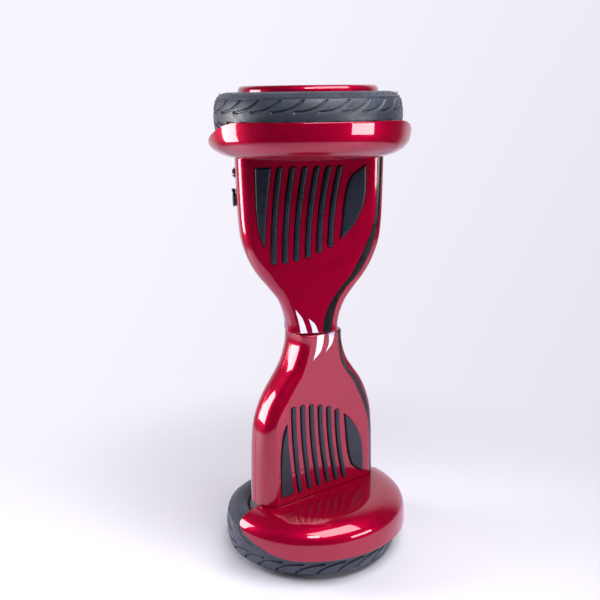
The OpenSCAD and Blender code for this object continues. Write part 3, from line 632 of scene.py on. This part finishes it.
def add_pad(side):
    """The foot pad: ribs and blades that come up through the cover's slots, on one mat with two feet."""
    parts = [fin(rib_sides(i), MAT_TOP - 0.2, DECK + RIB_PROUD, 2.0) for i in RIBS]
    parts += [fin(blade_sides(b), MAT_TOP - 0.2, DECK + RIB_PROUD, 1.8) for b in BLADES]
    parts.append(prism(MAT_OUTLINE, MAT_TOP - 3, MAT_TOP))
    parts += [turned(rod(2.6, -(MAT_TOP - 2.9), -17.9, 24), down(f, 150, 0)) for f in (-46, 46)]
    piece(f"{side}_pad", raw_mesh("pad", *joined(parts)), side, f"{side}_pad", M["pad_rubber"],
          [f"{side}_foot_pad"], sharp=40)


CLAW_PROUD, CLAW_EDGE = 0.16, 0.12


def add_claws(side):
    """The white claw marks, which are thin inlays in the cover."""
    claws = []
    for near, far in CLAWS[side]:
        at = np.linspace(START + 1.1, near[-1][0], 48)
        a, b = along(near, at), along(far, at)
        f = a[:, None] + (np.maximum(b - a, 0.01))[:, None] * np.linspace(0, 1, 9)
        s = np.broadcast_to(at[:, None], f.shape)
        edge = edge_distance(f, s, outline_of((at, a, b)))
        edge[0] = 1
        claws.append(inlay(f, s, CLAW_PROUD - drop(edge, CLAW_EDGE), 0.5))
    piece(f"{side}_claw_marks", raw_mesh("claws", *joined(claws)), side, f"{side}_half", CLAW, sharp=60)


# ---- Fender ----

# Outer face of the fender, as radius and distance inward from the wheel's mid-plane
FENDER = [(27, 53.6), (95, 53.6), (103, 53.2), (110, 52), (120, 48.5), (130, 42), (135, 36), (137.5, 30),
          (138.7, 23), (139.2, 14), (139.3, 6.2)]
FENDER_WALL = 2.8
# The rounded edge of its lip, as radius and distance outward from LIP_S
LIP_EDGE = [(139.2, -0.6), (138.9, -0.2), (138.4, 0), (137.4, 0), (136.9, -0.2), (136.6, -0.7)]
LIP_S = WHEEL_S - 5
# Where both ends of the lip are cut away, as distance inward from the wheel's mid-plane and y
LIP_CUT = [(5, 94), (7, 80), (10, 69), (13.5, 59), (21.5, 38), (27, 25), (34, 13), (38, 8)]


def add_fender(side):
    """The arch over the foot side of the wheel, a turned shape with both ends cut back along the lip."""
    radius, inward = np.array(FENDER, float).T
    run = np.concatenate([[0], np.cumsum(np.hypot(np.diff(radius), np.diff(inward)))])
    u = np.concatenate([np.linspace(0, run[1], 8)[:-1], np.linspace(run[1], run[-1], 40)])
    out_r = curve(run, radius, u)
    out_s = WHEEL_S - curve(run, inward, u)
    tangent = np.stack([np.gradient(out_r, u), np.gradient(out_s, u)], -1)
    tangent /= np.linalg.norm(tangent, axis=1)[:, None]
    in_r, in_s = out_r - FENDER_WALL * tangent[:, 1], out_s + FENDER_WALL * tangent[:, 0]
    in_r[0] = out_r[0]
    lip_r, lip_out = np.array(LIP_EDGE, float).T
    prof_r = np.concatenate([out_r, lip_r, in_r[::-1]])
    prof_s = np.concatenate([out_s, LIP_S + lip_out, in_s[::-1]])
    y_cut = np.interp(WHEEL_S - prof_s, *np.array(LIP_CUT).T)
    start = np.maximum(math.radians(3.5), np.arcsin(np.clip(y_cut / prof_r, 0, 1)))
    t = np.linspace(0, 1, 181)
    phi = math.pi + start + (math.pi - 2 * start) * t[:, None]
    v = np.stack([prof_r * np.cos(phi), prof_r * np.sin(phi), np.broadcast_to(prof_s, phi.shape)], -1)
    n, face_n = len(prof_r), len(out_r)
    faces = grid(len(t), n, loop_cols=True)
    for base in (0, (len(t) - 1) * n):
        for j in range(face_n - 1):
            faces.append([base + j, base + j + 1, base + n - 2 - j, base + n - 1 - j])
        faces.append([base + k for k in range(face_n - 1, n - face_n + 1)])
    obj = piece(f"{side}_fender_shell", raw_mesh("fender", v.reshape(-1, 3), faces), side, f"{side}_half",
                M["red_gloss"], [f"{side}_fender"])
    mod = obj.modifiers.new("edges", "BEVEL")
    mod.width, mod.segments, mod.angle_limit = 0.0006, 3, math.radians(50)


for side in SIDES:
    add_covers(side)
    add_pad(side)
    add_claws(side)
    add_fender(side)

# ---- Wheels ----

TYRE_R, TYRE_T = 127.0, 31.0
GROOVES, STEPS = 27, 38
# A groove follows a quarter of an ellipse, from GROOVE_OUT of the mid-plane at its end to close to the middle
GROOVE_LENGTH, GROOVE_OUT, GROOVE_REACH = 42, 29.5, 23
GROOVE_DEPTH, GROOVE_EDGE, GROOVE_WALL = 2.2, 1.9, 0.9
CHAMBER_R, CHAMBER_H, CHAMBER_W = 106, 14.5, 24
HAIRS = 54
# One side of the tyre from mid-tread to the bead, as distance in from TYRE_R and out from the mid-plane
CROWN = [(0, 0), (0, 1.5), (0.3, 8), (1.4, 15.5), (3, 21.6)]
SHOULDER = [(4.3, 22.0), (4.6, 22.8), (4.2, 23.6), (4, 24)]
SIDEWALL = [(8, TYRE_T - 4), (12, TYRE_T - 1.6), (17, TYRE_T - 0.3), (22, TYRE_T), (28, TYRE_T - 1.4),
            (32.5, TYRE_T - 5)]
# The bead, as radius and distance out from the mid-plane
BEAD = [(92.5, 22), (92.1, 21.5), (88.1, 21.5), (88.1, 15), (92, 15)]


def tyre_mesh(turn):
    """A tyre about z, its mid-plane at z = 0; turn is the way that its grooves lean."""
    p = np.array([(TYRE_R - d, z) for d, z in CROWN + SHOULDER + SIDEWALL] + BEAD, float)
    run = np.concatenate([[0], np.cumsum(np.linalg.norm(np.diff(p, axis=0), axis=1))])
    crown_end, shoulder_end = len(CROWN) - 1, len(CROWN + SHOULDER) - 1
    wall_end = len(CROWN + SHOULDER + SIDEWALL) - 1
    u = np.concatenate([np.linspace(0, run[crown_end], 30),
                        np.linspace(run[crown_end], run[shoulder_end], 9)[1:],
                        np.linspace(run[shoulder_end], run[wall_end], 22)[1:],
                        run[wall_end + 1:]])
    wall = (u > run[shoulder_end]) & (u < run[wall_end])
    pr = np.where(wall | (u <= run[crown_end]), curve(run, p[:, 0], u), np.interp(u, run, p[:, 0]))
    pz = np.where(wall, curve(run, p[:, 1], u), np.interp(u, run, p[:, 1]))
    chamber = np.radians(27 * np.linspace(5, -5, 21))
    prof_r = np.concatenate([pr, CHAMBER_R + CHAMBER_H * np.cos(chamber), pr[::-1][:-1]])
    prof_z = np.concatenate([pz, CHAMBER_W * np.sin(chamber), -pz[::-1][:-1]])
    spacing = 2 * math.pi * TYRE_R / GROOVES
    c = np.arange(STEPS) * spacing / STEPS
    k = np.linspace(0, math.radians(86), 120)
    line_c, line_z = GROOVE_LENGTH * np.sin(k), GROOVE_OUT - GROOVE_REACH * np.cos(k)
    depth = np.zeros((STEPS, len(prof_r)))
    on_crown = u <= run[crown_end] + 0.01
    tread = np.concatenate([on_crown, np.zeros(len(chamber), bool), on_crown[::-1][:-1]])
    for j in np.nonzero(tread)[0]:
        shift = 0.0 if prof_z[j] >= 0 else spacing / 2
        d = np.full(STEPS, 1e9)
        for m in range(-3, 3):
            gap = np.hypot((c + shift)[:, None] - (line_c + m * spacing), abs(prof_z[j]) - line_z)
            d = np.minimum(d, gap.min(axis=1))
        fall = np.clip((GROOVE_EDGE - d) / GROOVE_WALL, 0, 1)
        depth[:, j] = GROOVE_DEPTH * fall * fall * (3 - 2 * fall)
    radius = prof_r[None, :] - np.tile(depth, (GROOVES, 1))
    n = len(radius)
    a = turn * (np.arange(n) * 2 * math.pi / n)[:, None]
    v = np.stack([radius * np.cos(a), radius * np.sin(a), np.broadcast_to(prof_z, radius.shape)], -1)
    return v.reshape(-1, 3), grid(n, len(prof_r), True, True)


def screw_head(r, low, top, across):
    """A round head with a hexagonal recess."""
    def hexagon(t):
        return across / np.cos((t % (math.pi / 3)) - math.pi / 6)

    def rim(t):
        return hexagon(t) * 1.06

    floor = top - (top - low) * 0.65
    return lathe([(r, low), (r, top - 0.3), (r - 0.3, top), (rim, top), (hexagon, top - 0.15),
                  (hexagon, floor), (0.01, floor - 0.1)], 48)


HUB = Matrix.Translation((0, 0, WHEEL_S))
# The hub cap's face from its rounded rim to its middle, with a ring recess that holds six screws
CAP_FACE = [(73, 39), (72.2, 38.8), (70.3, 36.7), (69.5, 36.5), (54.5, 36.5), (53.7, 36.7), (51.8, 38.8),
            (51, 39), (30, 39), (0.01, 39)]
CAP_SCREWS = [HUB @ Matrix.Rotation(math.radians(30 + 60 * i), 4, "Z") @ Matrix.Translation((62, 0, 0))
              for i in range(6)]


def add_tyre(side):
    """A tyre, with a ring of moulding hairs on its outer shoulder."""
    hairs = []
    for k in range(HAIRS):
        a, lean = 2 * math.pi * (k + RNG.uniform(-0.15, 0.15)) / HAIRS, RNG.uniform(-0.3, 0.3)
        m = Matrix.Rotation(a, 4, "Z") @ Matrix.Translation((118.6, 0, 26.6)) @ Matrix.Rotation(0.25, 4, "Y")
        m = m @ Matrix.Rotation(lean, 4, "X")
        hairs.append(turned(lathe([(0.45, -1), (0.4, 1), (0.25, RNG.uniform(2.4, 3.8))], 6), m))
    v, f = turned(joined([tyre_mesh(1 if side == "left" else -1), *hairs]), HUB)
    piece(f"{side}_tyre_tread", raw_mesh("tyre", v, f), side, f"{side}_wheel", M["tyre_rubber"],
          [f"{side}_tyre"], sharp=48)


def add_hub_cap(side):
    """The hub cap and the heads of its screws."""
    wheel = f"{side}_wheel"
    corner = [(88 + 6 * math.cos(a), 33 + 6 * math.sin(a)) for a in np.linspace(0, math.pi / 2, 10)]
    cap = lathe([(0.01, 28.8), (93.6, 28.8), (94, 29.2)] + corner + CAP_FACE, 192)
    mesh = cut(raw_mesh("cap", *turned(cap, HUB)), [turned(rod(4, 34, 45), m) for m in CAP_SCREWS])
    piece(f"{side}_hub_disc", mesh, side, wheel, M["red_gloss"], [f"{side}_hub_cap"])
    heads = joined([turned(screw_head(3.7, 34, 36, 1.8), m) for m in CAP_SCREWS])
    piece(f"{side}_hub_screw_heads", raw_mesh("heads", *heads), side, wheel, M["screw_steel"],
          [f"{side}_hub_screws"])


def add_cover_screws(side):
    """The screws that hold the bottom cover."""
    screws = []
    for f, s in SCREWS:
        seat = underside(f, s) - HEAD_SUNK
        screws.append(turned(lathe([(SCREW_R, 17), (SCREW_R, seat + 0.01)], 24), down(f, s, 0)))
        screws.append(turned(screw_head(3.3, seat, seat + 1.2, 1.5), down(f, s, 0)))
    piece(f"{side}_shell_screws", raw_mesh("screws", *joined(screws)), side, f"{side}_half", M["screw_steel"],
          [f"{side}_cover_screws"])


for side in SIDES:
    add_tyre(side)
    add_hub_cap(side)
    add_cover_screws(side)

# ---- Camera, floor and light ----

# The camera's direction round the board, its place to the side, back and up, and its tilt and roll
AZ, X0, D, H, PITCH, ROLL = math.radians(-37), 0.0136335, 1.17395, 0.66066, 0.238565, -0.0113236
right = Vector((math.cos(AZ), math.sin(AZ), 0))
away = Vector((-math.sin(AZ), math.cos(AZ), 0))
up = Vector((0, 0, 1))
view = away * math.cos(PITCH) - up * math.sin(PITCH)
level = away * math.sin(PITCH) + up * math.cos(PITCH)
cam_x = right * math.cos(ROLL) + level * math.sin(ROLL)
cam_y = level * math.cos(ROLL) - right * math.sin(ROLL)
camera = bpy.data.objects.new("camera", bpy.data.cameras.new("camera"))
camera.data.lens, camera.data.sensor_width = 51.13, 36
camera.data.clip_start, camera.data.clip_end = 0.02, 50
rot = Matrix((cam_x, cam_y, -view)).transposed().to_4x4()
camera.matrix_world = Matrix.Translation(right * -X0 - away * D + up * H) @ rot
bpy.context.scene.collection.objects.link(camera)
bpy.context.scene.camera = camera
bpy.context.scene.view_settings.view_transform = "Standard"

FLOOR_R = 1.6
FLOOR_SIDES = 128
turns = np.linspace(0, 2 * math.pi, FLOOR_SIDES, endpoint=False)
floor_edge = [(FLOOR_R * math.cos(a), FLOOR_R * math.sin(a), -0.0002) for a in turns]
floor = bpy.data.objects.new("floor", raw_mesh("floor", floor_edge, [list(range(FLOOR_SIDES))]))
bpy.context.scene.collection.objects.link(floor)


def range_of(nodes, low, high, a=0.0, b=1.0, smooth=True):
    """A node that maps low..high to a..b."""
    m = nodes.new("ShaderNodeMapRange")
    m.interpolation_type = "SMOOTHSTEP" if smooth else "LINEAR"
    m.inputs["From Min"].default_value, m.inputs["From Max"].default_value = low, high
    m.inputs["To Min"].default_value, m.inputs["To Max"].default_value = a, b
    return m


# The paper under the board is white out to where it ends; for the camera it fades into the background sooner
paper = bpy.data.materials.new("floor_paper")
paper.use_nodes = True
nodes, links = paper.node_tree.nodes, paper.node_tree.links
shade = nodes.new("ShaderNodeMix")
shade.data_type = "RGBA"
shade.inputs["A"].default_value = (0.76, 0.73, 0.92, 1)
shade.inputs["B"].default_value = (0.60, 0.585, 0.645, 1)
links.new(shade.outputs["Result"], nodes["Principled BSDF"].inputs["Base Color"])
nodes["Principled BSDF"].inputs["Roughness"].default_value = 0.8
clear = nodes.new("ShaderNodeBsdfTransparent")
blend = nodes.new("ShaderNodeMixShader")
spot = nodes.new("ShaderNodeTexCoord")
reach = nodes.new("ShaderNodeVectorMath")
reach.operation = "LENGTH"
links.new(spot.outputs["Object"], reach.inputs[0])
path = nodes.new("ShaderNodeLightPath")
which = nodes.new("ShaderNodeMix")
for socket, ends in (("A", (1.15, 1.45)), ("B", (0.22, 0.75))):
    m = range_of(nodes, *ends)
    links.new(reach.outputs["Value"], m.inputs["Value"])
    links.new(m.outputs["Result"], which.inputs[socket])
links.new(path.outputs["Is Camera Ray"], which.inputs["Factor"])
links.new(path.outputs["Is Camera Ray"], shade.inputs["Factor"])
links.new(which.outputs["Result"], blend.inputs["Fac"])
links.new(nodes["Principled BSDF"].outputs["BSDF"], blend.inputs[1])
links.new(clear.outputs["BSDF"], blend.inputs[2])
links.new(blend.outputs["Shader"], nodes["Material Output"].inputs["Surface"])
floor.data.materials.append(paper)

world = bpy.data.worlds.new("studio")
bpy.context.scene.world = world
world.use_nodes = True
nodes, links = world.node_tree.nodes, world.node_tree.links
sky = nodes["Background"]
sky.inputs["Color"].default_value = (0.90, 0.86, 0.97, 1)
seen = nodes.new("ShaderNodeBackground")
pick = nodes.new("ShaderNodeMixShader")
path = nodes.new("ShaderNodeLightPath")
direction = nodes.new("ShaderNodeTexCoord")


def facing(vector):
    """How far a direction of the background points along a vector."""
    d = nodes.new("ShaderNodeVectorMath")
    d.operation = "DOT_PRODUCT"
    d.inputs[1].default_value = vector
    links.new(direction.outputs["Generated"], d.inputs[0])
    return d.outputs["Value"]


glow = range_of(nodes, 0.45, 0.75, 0.03, 1.0)
links.new(facing((away.x, away.y, 0.0)), glow.inputs["Value"])
links.new(glow.outputs["Result"], sky.inputs["Strength"])
# For camera rays the backdrop is painted lighter at the upper left and darker towards the lower right: painted
# shade, standing in for the falloff of light across the backdrop.
painted_backdrop_shade = nodes.new("ShaderNodeMix")
painted_backdrop_shade.data_type = "RGBA"
painted_backdrop_shade.inputs["A"].default_value = (0.938, 0.913, 1.0, 1)
painted_backdrop_shade.inputs["B"].default_value = (0.775, 0.76, 0.84, 1)
slope = range_of(nodes, -0.1, 0.55, smooth=False)
links.new(facing(tuple(right * 0.9 - up * 0.45)), slope.inputs["Value"])
links.new(slope.outputs["Result"], painted_backdrop_shade.inputs["Factor"])
links.new(painted_backdrop_shade.outputs["Result"], seen.inputs["Color"])
links.new(path.outputs["Is Camera Ray"], pick.inputs["Fac"])
links.new(sky.outputs["Background"], pick.inputs[1])
links.new(seen.outputs["Background"], pick.inputs[2])
links.new(pick.outputs["Shader"], nodes["World Output"].inputs["Surface"])


def softbox(name, place, target, size, power):
    """A rectangular soft lamp that faces its target."""
    lamp = bpy.data.lights.new(name, "AREA")
    lamp.shape, lamp.size, lamp.size_y, lamp.energy = "RECTANGLE", size[0], size[1], power
    obj = bpy.data.objects.new(name, lamp)
    obj.location = place
    obj.rotation_mode = "QUATERNION"
    obj.rotation_quaternion = (Vector(target) - obj.location).to_track_quat("-Z", "Y")
    bpy.context.scene.collection.objects.link(obj)


def from_camera(azimuth, elevation, distance, height=0.35):
    """A place round the board; azimuth is counted from the camera's side towards the right."""
    a, e = math.radians(azimuth), math.radians(elevation)
    level_part = (right * math.sin(a) - away * math.cos(a)) * math.cos(e) * distance
    return level_part + up * (height + math.sin(e) * distance)


MIDDLE = (0, 0, 0.33)
softbox("left_box", from_camera(-91, 0, 1.05, 0.53), MIDDLE, (0.42, 0.6), 12)
softbox("right_box", from_camera(58, -2, 1.5, 0.58), (0, 0, 0.6), (0.7, 0.3), 10)
softbox("top_box", from_camera(42, 60, 1.7, 0.08), (0, 0, 0.1), (1.3, 0.9), 36)
softbox("front_box", from_camera(2, 44, 2.4, 0.3), (0, 0, 0.4), (0.5, 0.5), 16)
